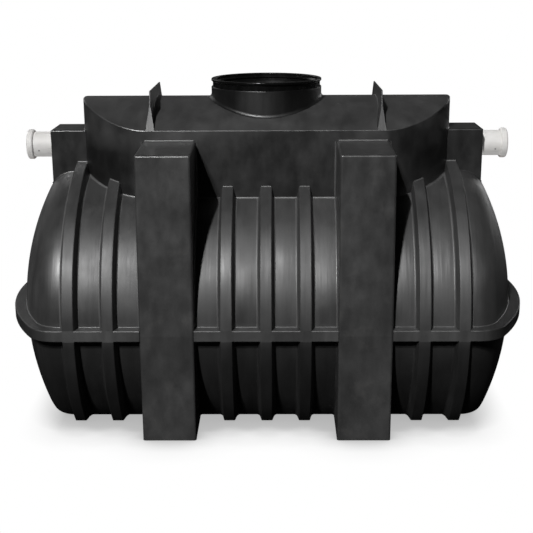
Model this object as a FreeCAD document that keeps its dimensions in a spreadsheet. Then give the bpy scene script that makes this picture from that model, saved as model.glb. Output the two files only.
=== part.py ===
import FreeCAD, Part
import math
import os
import re
import Sketcher

# Lying septic tank of moulded plastic: a round barrel with dished ends on four box legs,
# a belt at half height, hoop ribs, a raised upper body with a manhole, and a pipe at each end.
# +X runs along the tank, +Y to its back and +Z up. The origin is on the floor under its middle.

SIZES = {
    "wall": 8,
    "floor_gap": 15,
    "axis_rise": 440,
    "barrel_radius": 585,
    "straight_half_length": 831,
    "crown_radius": 1090,
    "knuckle_radius": 125,
    "floor_round": 22,
    "floor_seam_inset": 55.5,
    "belt_thickness": 48,
    "belt_proud": 42,
    "belt_straight_gain": 22,
    "belt_crown": 1088,
    "belt_knuckle": 135,
    "belt_end_seam_inset": 40,
    "belt_edge_round": 5,
    "rib_face_width": 46,
    "rib_draft": 15,
    "rib_edge_round": 4,
    "rib_setback": 35,
    "rib_pair_pitch": 159,
    "rib_middle_pitch": 160,
    "leg_place": 400,
    "leg_half_width": 110,
    "leg_edge_round": 10,
    "leg_top_drop": 53,
    "leg_top_draft": 34,
    "leg_foot_draft": 8,
    "leg_top_rise": 9,
    "turret_setback": 37,
    "turret_half_width": 304,
    "turret_wall_rise": 781,
    "roof_rise": 109,
    "roof_seam_rise": 5,
    "turret_eave_round": 5,
    "housing_length": 136,
    "housing_half_width": 102,
    "housing_cover": 20,
    "housing_edge_round": 6,
    "pipe_drop": 99,
    "pipe_radius": 55,
    "pipe_wall": 3.2,
    "pipe_inside": 60,
    "pipe_stub": 118,
    "socket_length": 28,
    "socket_lip": 6,
    "socket_play": 0.5,
    "bead_height": 10,
    "bead_round": 8,
    "seal_height": 5,
    "seal_length": 4,
    "neck_radius": 238,
    "neck_wall": 24,
    "neck_rise": 44,
    "neck_foot_round": 16,
    "neck_edge_round": 3,
    "rim_rise": 34,
    "rim_wall": 16,
    "rim_lip": 9,
    "rim_waist_slope": 5,
    "rim_waist_depth": 6,
    "rim_edge_round": 2.5,
    "rim_seat_depth": 12,
    "rim_ledge": 6,
    "rim_ledge_fall": 7,
    "rim_groove": 4,
    "fin_place": 477,
    "fin_base_thickness": 36,
    "fin_plate_thickness": 6,
    "fin_edge_round": 2,
    "fin_flare_rise": 95,
    "fin_front_lean": 45,
    "fin_back_lean": 189,
    "fin_back_inset": 24,
    "fin_rise": 50,
}

# Places that follow from the sizes above
PLACES = {
    "axis_height": "floor_gap + axis_rise",
    "floor_half_width": "sqrt(barrel_radius^2 - axis_rise^2) - floor_seam_inset",
    "belt_half_width": "barrel_radius + belt_proud",
    "belt_straight": "straight_half_length + belt_straight_gain",
    "belt_end_seam": "straight_half_length + belt_end_seam_inset",
    "belt_top": "axis_height + belt_thickness / 2",
    "belt_foot": "axis_height - belt_thickness / 2",
    "rib_end_place": "straight_half_length - rib_setback",
    "rib_outer_place": "rib_end_place - rib_pair_pitch",
    "turret_half_length": "straight_half_length - turret_setback",
    "turret_straight": "turret_half_length - turret_half_width",
    "turret_eave": "axis_height + turret_wall_rise",
    "turret_ridge": "turret_eave + roof_rise",
    "arch_radius": "(turret_half_width^2 + roof_rise^2) / (2 * roof_rise)",
    "leg_height": "turret_eave - leg_top_drop",
    "pipe_height": "turret_eave - pipe_drop",
    "housing_reach": "turret_half_length + housing_length",
    "housing_top": "pipe_height + pipe_radius + housing_cover",
    "roof_seam": "housing_top - wall + roof_seam_rise",
    "pipe_mouth": "housing_reach + pipe_stub",
    "rim_base": "turret_ridge + neck_rise",
    "rim_top": "rim_base + rim_rise",
    "rim_seat": "rim_top - rim_seat_depth",
    "rim_ledge_foot": "rim_seat - rim_ledge_fall",
    "rim_bore": "neck_radius - rim_wall",
    "neck_bore": "neck_radius - neck_wall",
    "fin_top": "turret_ridge + fin_rise",
    "fin_flare_top": "turret_eave + fin_flare_rise",
}

# Further out than any part of the tank, and how near two places count as one
FAR = 3000
NEAR = 0.5
FULL_TURN = 360

doc = FreeCAD.newDocument("septic_tank")
sheet = doc.addObject("Spreadsheet::Sheet", "Sizes")
for row, (alias, value) in enumerate(SIZES.items(), start=1):
    sheet.set(f"A{row}", alias)
    sheet.set(f"B{row}", str(value))
    sheet.setAlias(f"B{row}", alias)
doc.recompute()

SIZE_WORD = re.compile(r"\b(" + "|".join(SIZES) + r")\b")
PLACE_WORD = re.compile(r"\b(" + "|".join(PLACES) + r")\b")


def sums(text):
    """The text of an expression, with each size and place named in full."""
    text = SIZE_WORD.sub(r"Sizes.\1", str(text))
    return PLACE_WORD.sub(r"Places.\1", text)


places = doc.addObject("App::VarSet", "Places")
for alias, text in PLACES.items():
    places.addProperty("App::PropertyFloat", alias, "Places")
    places.setExpression(alias, sums(text))
doc.recompute()


def size(text):
    """The value of a named size or place, or of a sum of them, in millimetres."""
    return float(places.evalExpression(sums(text)))


def bind(thing, **properties):
    """Tie properties of an object to sums of the named sizes."""
    for name, text in properties.items():
        path = ".Placement.Base." + name[3:] if name.startswith("at_") else name
        thing.setExpression(path, sums(text))
    return thing


def block(name, x, y, z):
    """A box between two sums of sizes along each axis."""
    thing = doc.addObject("Part::Box", name)
    return bind(
        thing,
        Length=f"({x[1]}) - ({x[0]})",
        Width=f"({y[1]}) - ({y[0]})",
        Height=f"({z[1]}) - ({z[0]})",
        at_x=x[0],
        at_y=y[0],
        at_z=z[0],
    )


def rod(name, radius, height, upright=True, **place):
    """A cylinder that stands up, or lies along +X."""
    thing = doc.addObject("Part::Cylinder", name)
    if not upright:
        thing.Placement.Rotation = FreeCAD.Rotation(FreeCAD.Vector(0, 1, 0), 90)
    return bind(thing, Radius=radius, Height=height, **place)


def fuse(name, *pieces):
    thing = doc.addObject("Part::MultiFuse", name)
    thing.Shapes = list(pieces)
    return thing


def common(name, base, tool):
    thing = doc.addObject("Part::Common", name)
    thing.Base = base
    thing.Tool = tool
    return thing


def cut(name, base, *tools):
    tool = tools[0] if len(tools) == 1 else fuse(name + "_tools", *tools)
    thing = doc.addObject("Part::Cut", name)
    thing.Base = base
    thing.Tool = tool
    return thing


def soften(name, base, radius, chosen):
    """Round the edges of a form whose bounding boxes meet a rule."""
    doc.recompute()
    thing = doc.addObject("Part::Fillet", name)
    thing.Base = base
    numbers = [number for number, edge in enumerate(base.Shape.Edges, start=1) if chosen(edge.BoundBox)]
    thing.Edges = [(number, size(radius), size(radius)) for number in numbers]
    doc.recompute()
    return thing


def soften_feature(body, feature, radius, chosen):
    """Round the edges of a body's feature whose bounding boxes meet a rule."""
    doc.recompute()
    edges = enumerate(feature.Shape.Edges, start=1)
    rounding = body.newObject("PartDesign::Fillet", body.Name + "_rounding")
    rounding.Base = (feature, [f"Edge{number}" for number, edge in edges if chosen(edge.BoundBox)])
    bind(rounding, Radius=radius)
    return rounding


PARTS = []


def part(name, thing):
    """Name the finished piece after the node that it becomes."""
    thing.Label = name
    PARTS.append(thing)
    return thing


def fix(sketch, constraint, name=None, text=None):
    """Add one constraint, and tie it to a sum of sizes where it is a dimension."""
    index = sketch.addConstraint(constraint)
    if name:
        sketch.renameConstraint(index, name)
        bind(sketch, **{"Constraints." + name: text})
    return index


def sketch_in(body, name, plane):
    """A sketch on one of the body's own origin planes."""
    sketch = body.newObject("Sketcher::SketchObject", name)
    feature = next(one for one in body.Origin.OriginFeatures if one.Role == plane)
    sketch.AttachmentSupport = [(feature, "")]
    sketch.MapMode = "FlatFace"
    return sketch


def polygon(sketch, corners):
    """A closed outline whose every corner is tied to two sums of sizes."""
    count = len(corners)
    spots = [FreeCAD.Vector(size(across), size(up), 0) for across, up in corners]
    for index in range(count):
        sketch.addGeometry(Part.LineSegment(spots[index], spots[(index + 1) % count]))
    for index in range(count):
        fix(sketch, Sketcher.Constraint("Coincident", index, 2, (index + 1) % count, 1))
    for index, (across, up) in enumerate(corners):
        spot = spots[index]
        fix(sketch, Sketcher.Constraint("DistanceX", -1, 1, index, 1, spot.x), f"across{index}", across)
        fix(sketch, Sketcher.Constraint("DistanceY", -1, 1, index, 1, spot.y), f"up{index}", up)


def round_ended_outline(sketch, texts):
    """A long outline, upper half only: a straight side with knuckles and shallow crowns."""
    straight, half_width, crown, knuckle = (size(text) for text in texts)
    knuckle_height = half_width - knuckle
    reach = math.sqrt((crown - knuckle) ** 2 - knuckle_height**2)
    lean = math.atan2(knuckle_height, reach)
    middle = straight - reach
    half_length = middle + crown

    def arc(x, y, radius, start, end):
        circle = Part.Circle(FreeCAD.Vector(x, y, 0), FreeCAD.Vector(0, 0, 1), radius)
        return sketch.addGeometry(Part.ArcOfCircle(circle, start, end))

    def line(start, end, height):
        spots = (FreeCAD.Vector(start, height, 0), FreeCAD.Vector(end, height, 0))
        return sketch.addGeometry(Part.LineSegment(*spots))

    side = line(-straight, straight, half_width)
    right_knuckle = arc(straight, knuckle_height, knuckle, lean, math.pi / 2)
    right_crown = arc(middle, 0, crown, 0, lean)
    chord = line(half_length, -half_length, 0)
    left_crown = arc(-middle, 0, crown, math.pi - lean, math.pi)
    left_knuckle = arc(-straight, knuckle_height, knuckle, math.pi / 2, math.pi - lean)
    fix(sketch, Sketcher.Constraint("Tangent", side, 2, right_knuckle, 2))
    fix(sketch, Sketcher.Constraint("Tangent", right_knuckle, 1, right_crown, 2))
    fix(sketch, Sketcher.Constraint("Tangent", side, 1, left_knuckle, 1))
    fix(sketch, Sketcher.Constraint("Tangent", left_knuckle, 2, left_crown, 1))
    fix(sketch, Sketcher.Constraint("Coincident", right_crown, 1, chord, 1))
    fix(sketch, Sketcher.Constraint("Coincident", left_crown, 2, chord, 2))
    fix(sketch, Sketcher.Constraint("PointOnObject", right_crown, 3, -1))
    fix(sketch, Sketcher.Constraint("PointOnObject", left_crown, 3, -1))
    fix(sketch, Sketcher.Constraint("PointOnObject", chord, 1, -1))
    fix(sketch, Sketcher.Constraint("Symmetric", chord, 1, chord, 2, -1, 1))
    fix(sketch, Sketcher.Constraint("Equal", right_crown, left_crown))
    fix(sketch, Sketcher.Constraint("Equal", right_knuckle, left_knuckle))
    fix(sketch, Sketcher.Constraint("DistanceX", -1, 1, side, 2, straight), "straight", texts[0])
    fix(sketch, Sketcher.Constraint("DistanceY", -1, 1, side, 1, half_width), "side", texts[1])
    fix(sketch, Sketcher.Constraint("Radius", right_crown, crown), "crown", texts[2])
    fix(sketch, Sketcher.Constraint("Radius", right_knuckle, knuckle), "knuckle", texts[3])


def revolved(body, sketch, axis):
    """A full turn of a sketch about one of its own axes."""
    doc.recompute()
    turn = body.newObject("PartDesign::Revolution", body.Name + "_turn")
    turn.Profile = (sketch, [""])
    turn.ReferenceAxis = (sketch, [axis])
    turn.Angle = FULL_TURN
    return turn


def padded(body, sketch, length):
    """A sketch made solid by the same distance to both sides of its plane."""
    doc.recompute()
    pad = body.newObject("PartDesign::Pad", body.Name + "_pad")
    pad.Profile = (sketch, [""])
    pad.Midplane = True
    return bind(pad, Length=length)


def torispherical(name, inset):
    """The barrel with its dished ends, revolved about its axis and inset from the outside."""
    body = doc.addObject("PartDesign::Body", name)
    sketch = sketch_in(body, name + "_profile", "XZ_Plane")
    radii = [f"{radius} - {inset}" for radius in ("barrel_radius", "crown_radius", "knuckle_radius")]
    round_ended_outline(sketch, ["straight_half_length", *radii])
    revolved(body, sketch, "H_Axis")
    return bind(body, at_z="axis_height")


ALL = (f"-{FAR}", f"{FAR}")


def flat_floored(word, inset, floor):
    """The round form cut flat at a floor level, with a soft edge round the flat."""
    whole = torispherical(f"round_{word}", inset)
    sharp = common(f"sharp_{word}", whole, block(f"above_{word}_floor", ALL, ALL, (floor, FAR)))

    def floor_edge(box):
        return max(abs(box.ZMin - size(floor)), abs(box.ZMax - size(floor))) < NEAR

    return soften(f"tank_{word}", sharp, f"floor_round - {inset}", floor_edge)


# Barrel with a flat floor, as its outside and as the room in it
tank_outside = flat_floored("outside", "0", "floor_gap")
tank_inside = flat_floored("inside", "wall", "floor_gap + wall")


def obround(name, straight, half_width, low, high):
    """An upright block whose plan has straight sides and half-round ends."""
    across = (f"-({half_width})", half_width)
    middle = block(name + "_middle", (f"-({straight})", straight), across, (low, high))
    tall = f"({high}) - ({low})"
    left = rod(name + "_left", half_width, tall, at_x=f"-({straight})", at_z=low)
    right = rod(name + "_right", half_width, tall, at_x=straight, at_z=low)
    return fuse(name, middle, left, right)


def arched(name, plan, inset):
    """An upright block cut off by the round form of the turret's roof."""
    arch = rod(
        name + "_arch",
        f"arch_radius - {inset}",
        "2 * turret_half_length",
        upright=False,
        at_x="-turret_half_length",
        at_z="turret_ridge - arch_radius",
    )
    return common(name, plan, arch)


def eave_edge(box):
    """The edges where the roof meets the upright walls, without the roof's own seams."""
    seam = box.XLength < NEAR and abs(box.Center.x) < size("turret_half_length") - 1
    return box.ZMin > size("turret_eave") - NEAR and not seam


# Turret, the raised upper body with its arched roof
UP_TO_ROOF = ("axis_height", "turret_ridge + wall")
turret_prism = obround("turret_prism", "turret_straight", "turret_half_width", *UP_TO_ROOF)
turret_room = obround("turret_room", "turret_straight", "turret_half_width - wall", *UP_TO_ROOF)
turret_sharp = arched("turret_sharp", turret_prism, "0")
turret_core = arched("turret_core", turret_room, "wall")
turret_outside = soften("turret_outside", turret_sharp, "turret_eave_round", eave_edge)


def housing_forms(name, side):
    """The box that covers one pipe's way in, as an outer block and the hollow in it."""
    reach = ("turret_half_length - 3 * wall", "housing_reach")
    hollow = (reach[0], "housing_reach - wall")
    if side < 0:
        reach = tuple(f"-({text})" for text in reversed(reach))
        hollow = tuple(f"-({text})" for text in reversed(hollow))
    across = ("-housing_half_width", "housing_half_width")
    inner = ("-housing_half_width + wall", "housing_half_width - wall")
    outer = block(name + "_block", reach, across, ("axis_height", "housing_top"))
    core = block(name + "_hollow", hollow, inner, ("axis_height", "housing_top - wall"))
    return outer, core


left_housing, left_hollow = housing_forms("left_housing", -1)
right_housing, right_hollow = housing_forms("right_housing", 1)

# Tank wall, opened under the turret and under both housings
tank_wall = cut("tank_wall", tank_outside, tank_inside, turret_prism, left_hollow, right_hollow)
turret_wall = cut("turret_wall", turret_outside, turret_core, tank_inside, left_hollow, right_hollow)

LOWER = (f"-{FAR}", "axis_height")
UPPER = ("axis_height", f"{FAR}")
FRONT = (f"-{FAR}", "0")
BACK = ("0", f"{FAR}")
BARREL_LENGTH = ("-straight_half_length", "straight_half_length")
BEYOND_LEFT = (f"-{FAR}", "-straight_half_length")
BEYOND_RIGHT = ("straight_half_length", f"{FAR}")
TURRET_LENGTH = ("-turret_straight", "turret_straight")
LEFT_SHOULDER = ("-straight_half_length", "-turret_straight")
RIGHT_SHOULDER = ("turret_straight", "straight_half_length")


def segment(name, whole, x, y, z):
    """The stretch of a wall that lies in one box."""
    return part(name, common(name + "_segment", whole, block(name + "_box", x, y, z)))


segment("tank_floor", tank_wall, BARREL_LENGTH, ("-floor_half_width", "floor_half_width"), LOWER)
segment("lower_front_wall", tank_wall, BARREL_LENGTH, (f"-{FAR}", "-floor_half_width"), LOWER)
segment("lower_back_wall", tank_wall, BARREL_LENGTH, ("floor_half_width", f"{FAR}"), LOWER)
for level_word, level in (("lower", LOWER), ("upper", UPPER)):
    segment(f"{level_word}_left_end", tank_wall, BEYOND_LEFT, ALL, level)
    segment(f"{level_word}_right_end", tank_wall, BEYOND_RIGHT, ALL, level)
for depth_word, depth in (("front", FRONT), ("back", BACK)):
    segment(f"upper_{depth_word}_wall", tank_wall, TURRET_LENGTH, depth, UPPER)
    segment(f"upper_{depth_word}_left_shoulder", tank_wall, LEFT_SHOULDER, depth, UPPER)
    segment(f"upper_{depth_word}_right_shoulder", tank_wall, RIGHT_SHOULDER, depth, UPPER)

BELOW_ROOF = ("axis_height", "roof_seam")
segment("turret_front_wall", turret_wall, TURRET_LENGTH, FRONT, BELOW_ROOF)
segment("turret_back_wall", turret_wall, TURRET_LENGTH, BACK, BELOW_ROOF)
segment("turret_left_end", turret_wall, (f"-{FAR}", "-turret_straight"), ALL, BELOW_ROOF)
segment("turret_right_end", turret_wall, ("turret_straight", f"{FAR}"), ALL, BELOW_ROOF)

# Roof with the manhole through it, in four pieces round the neck
ROOF = ("roof_seam", f"{FAR}")
BESIDE_NECK = ("-neck_radius", "neck_radius")
manhole = rod("manhole", "neck_bore", f"{FAR}", at_z="axis_height")
roof_shell = cut("roof_shell", turret_wall, manhole)
segment("turret_roof_left", roof_shell, (f"-{FAR}", "-neck_radius"), ALL, ROOF)
segment("turret_roof_front", roof_shell, BESIDE_NECK, FRONT, ROOF)
segment("turret_roof_back", roof_shell, BESIDE_NECK, BACK, ROOF)
segment("turret_roof_right", roof_shell, ("neck_radius", f"{FAR}"), ALL, ROOF)


def neck_top_edge(box):
    return box.ZMin > size("rim_base") - NEAR and box.XLength > NEAR


def neck_foot_edge(box):
    """The line where the upright neck runs out onto the arched roof."""
    widest = max(box.XMax, -box.XMin, box.YMax, -box.YMin)
    return widest < size("neck_radius") + NEAR and box.ZLength > 1 and box.XLength > 1


def neck():
    """The upright neck with a soft foot that follows the roof's arch."""
    post = rod("neck_post", "neck_radius", "rim_base - turret_eave", at_z="turret_eave")
    eased = soften("neck_eased", post, "neck_edge_round", neck_top_edge)
    on_roof = fuse("neck_on_roof", turret_outside, eased)
    flared = soften("neck_flared", on_roof, "neck_foot_round", neck_foot_edge)
    return part("manhole_neck", cut("neck_shell", flared, turret_outside, manhole))


def rim():
    """The ring on the neck: a lip over a narrow waist, and inside it a lid's seat over a groove."""
    body = doc.addObject("PartDesign::Body", "rim_body")
    sketch = sketch_in(body, "rim_profile", "XZ_Plane")
    waist = "neck_radius - rim_waist_depth"
    corners = [
        (waist, "rim_base"),
        (waist, "rim_top - rim_lip - rim_waist_slope"),
        ("neck_radius", "rim_top - rim_lip"),
        ("neck_radius", "rim_top"),
        ("rim_bore", "rim_top"),
        ("rim_bore", "rim_seat"),
        ("rim_bore - rim_ledge", "rim_ledge_foot"),
        ("rim_bore", "rim_ledge_foot"),
        ("rim_bore", "rim_ledge_foot - rim_groove"),
        ("neck_bore", "rim_base"),
    ]
    polygon(sketch, corners)
    turn = revolved(body, sketch, "V_Axis")
    soften_feature(body, turn, "rim_edge_round", lambda box: box.ZMin > size("rim_top") - NEAR)
    return part("manhole_rim", body)


neck()
rim()


def leg_form(name, side_x, side_y, inset):
    """A box leg, drafted up and down from the belt, before the barrel is cut from it."""
    body = doc.addObject("PartDesign::Body", name)
    sketch = sketch_in(body, name + "_profile", "YZ_Plane")
    sign = "-" if side_y < 0 else ""
    top = f"leg_height - {inset}"
    wall_place = f"{sign}(turret_half_width - wall)"
    corners = [
        (f"{sign}(belt_half_width - leg_foot_draft - {inset})", inset),
        (f"{sign}(belt_half_width - {inset})", "axis_height"),
        (f"{sign}(belt_half_width - leg_top_draft - {inset})", top),
        (wall_place, f"{top} + leg_top_rise"),
        (wall_place, inset),
    ]
    polygon(sketch, corners)
    pad = padded(body, sketch, f"2 * (leg_half_width - {inset})")

    def outer_edge(box):
        """The edges in the open, without those on the floor, in the tank or at the belt's height."""
        clear = max(abs(box.YMin), abs(box.YMax)) > size("turret_half_width")
        crease = box.ZLength < NEAR and abs(box.Center.z - size("axis_height")) < NEAR
        return clear and box.ZMax > NEAR and not crease

    if inset == "0":
        soften_feature(body, pad, "leg_edge_round", outer_edge)
    return bind(body, at_x="leg_place" if side_x > 0 else "-leg_place")


for side_y, depth_word in ((-1, "front"), (1, "back")):
    for side_x, side_word in ((-1, "left"), (1, "right")):
        name = f"{side_word}_{depth_word}_leg"
        outer = leg_form(name + "_block", side_x, side_y, "0")
        core = leg_form(name + "_core", side_x, side_y, "wall")
        part(name, cut(name + "_shell", outer, core, tank_outside, turret_outside))


def belt_form(name, soft):
    """The flat belt that runs round the tank at half height, as one ring with or without soft edges."""
    body = doc.addObject("PartDesign::Body", name)
    sketch = sketch_in(body, name + "_outline", "XY_Plane")
    round_ended_outline(sketch, ["belt_straight", "belt_half_width", "belt_crown", "belt_knuckle"])
    pad = padded(body, sketch, "belt_thickness")
    doc.recompute()
    mirror = body.newObject("PartDesign::Mirrored", name + "_mirror")
    mirror.Originals = [pad]
    mirror.MirrorPlane = (sketch, ["H_Axis"])
    body.Tip = mirror
    if soft:
        soften_feature(body, mirror, "belt_edge_round", lambda box: box.ZLength < NEAR)
    return bind(body, at_z="axis_height")


RIB_PLACES = [
    "-rib_end_place",
    "-rib_outer_place",
    "-rib_middle_pitch",
    "0",
    "rib_middle_pitch",
    "rib_outer_place",
    "rib_end_place",
]


def slabs(word, spots, half_width):
    """Upright slabs right through the tank at places along it."""
    return [
        block(f"{word}_slab_{number}", (f"{spot} - {half_width}", f"{spot} + {half_width}"), ALL, ALL)
        for number, spot in enumerate(spots, start=1)
    ]


# Belt with soft edges between the ribs and square ones where the ribs cross it flush
rib_slabs = slabs("rib", RIB_PLACES, "rib_face_width / 2")
leg_slabs = slabs("leg", ["-leg_place", "leg_place"], "leg_half_width")
crossings = common("belt_crossings", belt_form("square_belt", False), fuse("rib_lanes", *rib_slabs))
belt_whole = fuse("belt_whole", belt_form("soft_belt", True), crossings)
belt_ring = cut("belt_ring", belt_whole, tank_outside, *leg_slabs)
BETWEEN_BELT_SEAMS = ("-belt_end_seam", "belt_end_seam")
segment("front_belt", belt_ring, BETWEEN_BELT_SEAMS, FRONT, ALL)
segment("back_belt", belt_ring, BETWEEN_BELT_SEAMS, BACK, ALL)
segment("left_belt", belt_ring, (f"-{FAR}", "-belt_end_seam"), ALL, ALL)
segment("right_belt", belt_ring, ("belt_end_seam", f"{FAR}"), ALL, ALL)


def hoop(name, place):
    """One drafted rib with soft outer edges, as a full hoop about the barrel's axis."""
    body = doc.addObject("PartDesign::Body", name)
    sketch = sketch_in(body, name + "_profile", "XZ_Plane")
    half_face = "rib_face_width / 2"
    half_base = "rib_face_width / 2 + rib_draft"
    low = "barrel_radius - 3 * wall"
    corners = [
        (f"-({half_base})", low),
        (half_base, low),
        (half_face, "belt_half_width"),
        (f"-({half_face})", "belt_half_width"),
    ]
    polygon(sketch, corners)
    turn = revolved(body, sketch, "H_Axis")
    widest = 2 * size("belt_half_width") - 1
    soften_feature(body, turn, "rib_edge_round", lambda box: box.ZLength > widest)
    return bind(body, at_x=place, at_z="axis_height")


ABOVE_BELT = ("belt_top", f"{FAR}")
BELOW_BELT = ("floor_gap", "belt_foot")
for number, place in enumerate(RIB_PLACES, start=1):
    ring = hoop(f"hoop_{number}", place)
    upper_cuts = [tank_outside, turret_prism]
    if number == 1:
        upper_cuts.append(left_housing)
    if number == len(RIB_PLACES):
        upper_cuts.append(right_housing)
    above = common(
        f"rib_{number}_above",
        cut(f"hoop_{number}_above", ring, *upper_cuts),
        block(f"rib_{number}_above_box", ALL, ALL, ABOVE_BELT),
    )
    below = common(
        f"rib_{number}_below",
        cut(f"hoop_{number}_below", ring, tank_outside),
        block(f"rib_{number}_below_box", ALL, ALL, BELOW_BELT),
    )
    part(f"rib_{number}", fuse(f"rib_{number}_pieces", above, below))


def pipe_piece(name, side, radius, start, end):
    """A cylinder along +X or -X, between two distances from the tank's middle."""
    first = f"-({end})" if side < 0 else start
    return rod(name, radius, f"({end}) - ({start})", upright=False, at_x=first, at_z="pipe_height")


def housing(word, side, outer, core):
    """The box over one pipe's way in, with soft edges where it stands clear of the turret."""

    def clear_edge(box):
        at_end = max(abs(box.XMin), abs(box.XMax)) > size("housing_reach") - NEAR
        on_top = box.ZMin > size("housing_top") - NEAR
        inner_end = box.XLength < NEAR and not at_end
        return box.ZMax > size("housing_top") - NEAR and (at_end or on_top) and not inner_end

    soft = soften(f"{word}_housing_soft", outer, "housing_edge_round", clear_edge)
    way = pipe_piece(f"{word}_pipe_way", side, "pipe_radius", "turret_half_length", "pipe_mouth")
    shell = cut(f"{word}_housing_shell", soft, core, tank_outside, turret_prism, way)
    part(f"{word}_pipe_housing", shell)
    seal_end = "housing_reach + seal_length"
    ring = pipe_piece(f"{word}_seal_ring", side, "pipe_radius + seal_height", "housing_reach", seal_end)
    part(f"{word}_pipe_seal", cut(f"{word}_seal_shell", ring, way))


def pipe(word, side):
    """A drain pipe with a socket at its open end, which a soft bead makes wider outside."""
    inner_end = "turret_half_length - pipe_inside"
    bead_start = "pipe_mouth - socket_length"
    seat = "pipe_mouth - socket_length + socket_lip"
    tube = pipe_piece(f"{word}_tube", side, "pipe_radius", inner_end, "pipe_mouth")
    socket = pipe_piece(f"{word}_socket", side, "pipe_radius + bead_height", bead_start, "pipe_mouth")
    bore = pipe_piece(f"{word}_bore", side, "pipe_radius - pipe_wall", inner_end, "pipe_mouth")
    mouth = pipe_piece(f"{word}_mouth", side, "pipe_radius + socket_play", seat, "pipe_mouth")
    bead = soften(f"{word}_bead", socket, "bead_round", lambda box: box.XLength < NEAR)
    form = fuse(f"{word}_pipe_form", tube, bead)
    part(f"{word}_pipe", cut(f"{word}_pipe_shell", form, bore, mouth))


housing("left", -1, left_housing, left_hollow)
housing("right", 1, right_housing, right_hollow)
pipe("left", -1)
pipe("right", 1)


def fin(name, side):
    """A lifting plate across the roof: thin above, flared to a thick foot at the eave."""
    front = doc.addObject("PartDesign::Body", name + "_front_view")
    sketch = sketch_in(front, name + "_thickness", "XZ_Plane")
    half_base, half_plate = "fin_base_thickness / 2", "fin_plate_thickness / 2"
    corners = [
        (f"-{half_base}", "turret_eave"),
        (half_base, "turret_eave"),
        (half_plate, "fin_flare_top"),
        (half_plate, "fin_top"),
        (f"-{half_plate}", "fin_top"),
        (f"-{half_plate}", "fin_flare_top"),
    ]
    polygon(sketch, corners)
    padded(front, sketch, "2 * turret_half_width")
    outline = doc.addObject("PartDesign::Body", name + "_side_view")
    sketch = sketch_in(outline, name + "_outline", "YZ_Plane")
    corners = [
        ("-turret_half_width", "turret_eave"),
        ("-(turret_half_width - fin_front_lean)", "fin_top"),
        ("turret_half_width - fin_back_lean", "fin_top"),
        ("turret_half_width - fin_back_inset", "turret_eave"),
    ]
    polygon(sketch, corners)
    padded(outline, sketch, "fin_base_thickness")
    place = "fin_place" if side > 0 else "-fin_place"
    plate = common(name + "_plate", bind(front, at_x=place), bind(outline, at_x=place))

    def plate_edge(box):
        return box.ZMin > size("fin_flare_top") - NEAR and box.XLength < NEAR and box.YLength > NEAR

    soft = soften(name + "_soft", plate, "fin_edge_round", plate_edge)
    return part(name, cut(name + "_shell", soft, turret_outside))


fin("left_lifting_fin", -1)
fin("right_lifting_fin", 1)

doc.recompute()
for thing in doc.Objects:
    if "Invalid" in thing.State or "Error" in thing.State:
        raise SystemExit(f"{thing.Name} did not build: {thing.State}")
for thing in PARTS:
    if thing.Shape.isNull() or not thing.Shape.isValid():
        raise SystemExit(f"{thing.Label} has no valid shape")

os.makedirs("parts", exist_ok=True)
for thing in PARTS:
    thing.Shape.exportStep(f"parts/{thing.Label}.step")
    print(thing.Label, len(thing.Shape.Solids), round(thing.Shape.Volume / 1e6, 3), "litres")
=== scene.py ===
import math

import bmesh
import bpy
from mathutils import Matrix, Vector


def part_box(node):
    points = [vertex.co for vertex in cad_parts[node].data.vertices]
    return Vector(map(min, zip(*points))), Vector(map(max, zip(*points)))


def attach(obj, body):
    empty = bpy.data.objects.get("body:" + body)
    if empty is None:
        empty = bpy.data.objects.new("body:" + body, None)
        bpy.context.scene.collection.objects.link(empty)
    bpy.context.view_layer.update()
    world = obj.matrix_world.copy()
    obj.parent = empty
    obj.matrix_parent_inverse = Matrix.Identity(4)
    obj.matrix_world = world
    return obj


# Lying septic tank of black moulded plastic, with pale pipe ends and rubber seals.
# Metres, +X along the tank, +Y to its back, +Z up, floor at zero.

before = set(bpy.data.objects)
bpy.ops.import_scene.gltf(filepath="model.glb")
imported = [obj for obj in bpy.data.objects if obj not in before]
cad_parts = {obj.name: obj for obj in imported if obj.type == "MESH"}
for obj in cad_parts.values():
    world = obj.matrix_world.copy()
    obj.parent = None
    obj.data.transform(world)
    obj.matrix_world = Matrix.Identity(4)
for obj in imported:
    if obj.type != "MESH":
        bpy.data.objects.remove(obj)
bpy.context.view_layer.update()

# The photograph's camera
PICTURE_WIDTH = 533
SENSOR_WIDTH = 36.0
CAMERA_FOCUS_PIXELS = 1078.67
CAMERA_PLACE = Vector((0.0491, -4.7207, 1.8719))
CAMERA_PITCH_DOWN = 0.2682
CAMERA_YAW = -0.0112
CAMERA_ROLL = -0.0053
FAR_CLIP = 100.0

# Lights: azimuth from the front, positive to the right, then elevation, strength and angular size
MATT_LIGHTS = {
    "key": (-20.5, 42, 3.2, 1.0),
    "left": (-105, 12, 0.2, 30.0),
    "right": (105, 12, 0.25, 30.0),
    "back_left": (-155, 15, 1.2, 30.0),
    "back_right": (155, 15, 1.2, 30.0),
}
GLOSS_LIGHTS = {
    "sheen": (-20.5, 36, 3.1, 4.0),
    "back_sheen_left": (-150, 20, 0.15, 30.0),
    "back_sheen_right": (145, 5, 0.2, 24.0),
}
PIPE_FILL = (-25, -42, 2.0, 60.0)

# The world's plain strength, its strength in gloss ahead and behind, and where one turns into the other
WORLD_STRENGTH = 0.01
GLOSSY_AHEAD = 0.004
GLOSSY_BEHIND = 0.05
GLOSSY_TURN = (0.1, 0.9)
WHITE = (1.0, 1.0, 1.0, 1.0)

# Floor: each shade's reach, its darkest level and the openness where it is darkest.
# Both shades fade out between two distances from the tank's middle, along the tank.
FLOOR_REACH = 30.0
FLOOR_BOUNCE = 0.04
GLOSSY_FLOOR = 0.004
FLOOR_SHADES = ((0.24, 0.62, 0.0), (0.12, 0.7, 0.5))
FLOOR_SHADE_END = (0.88, 1.06)

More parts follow.
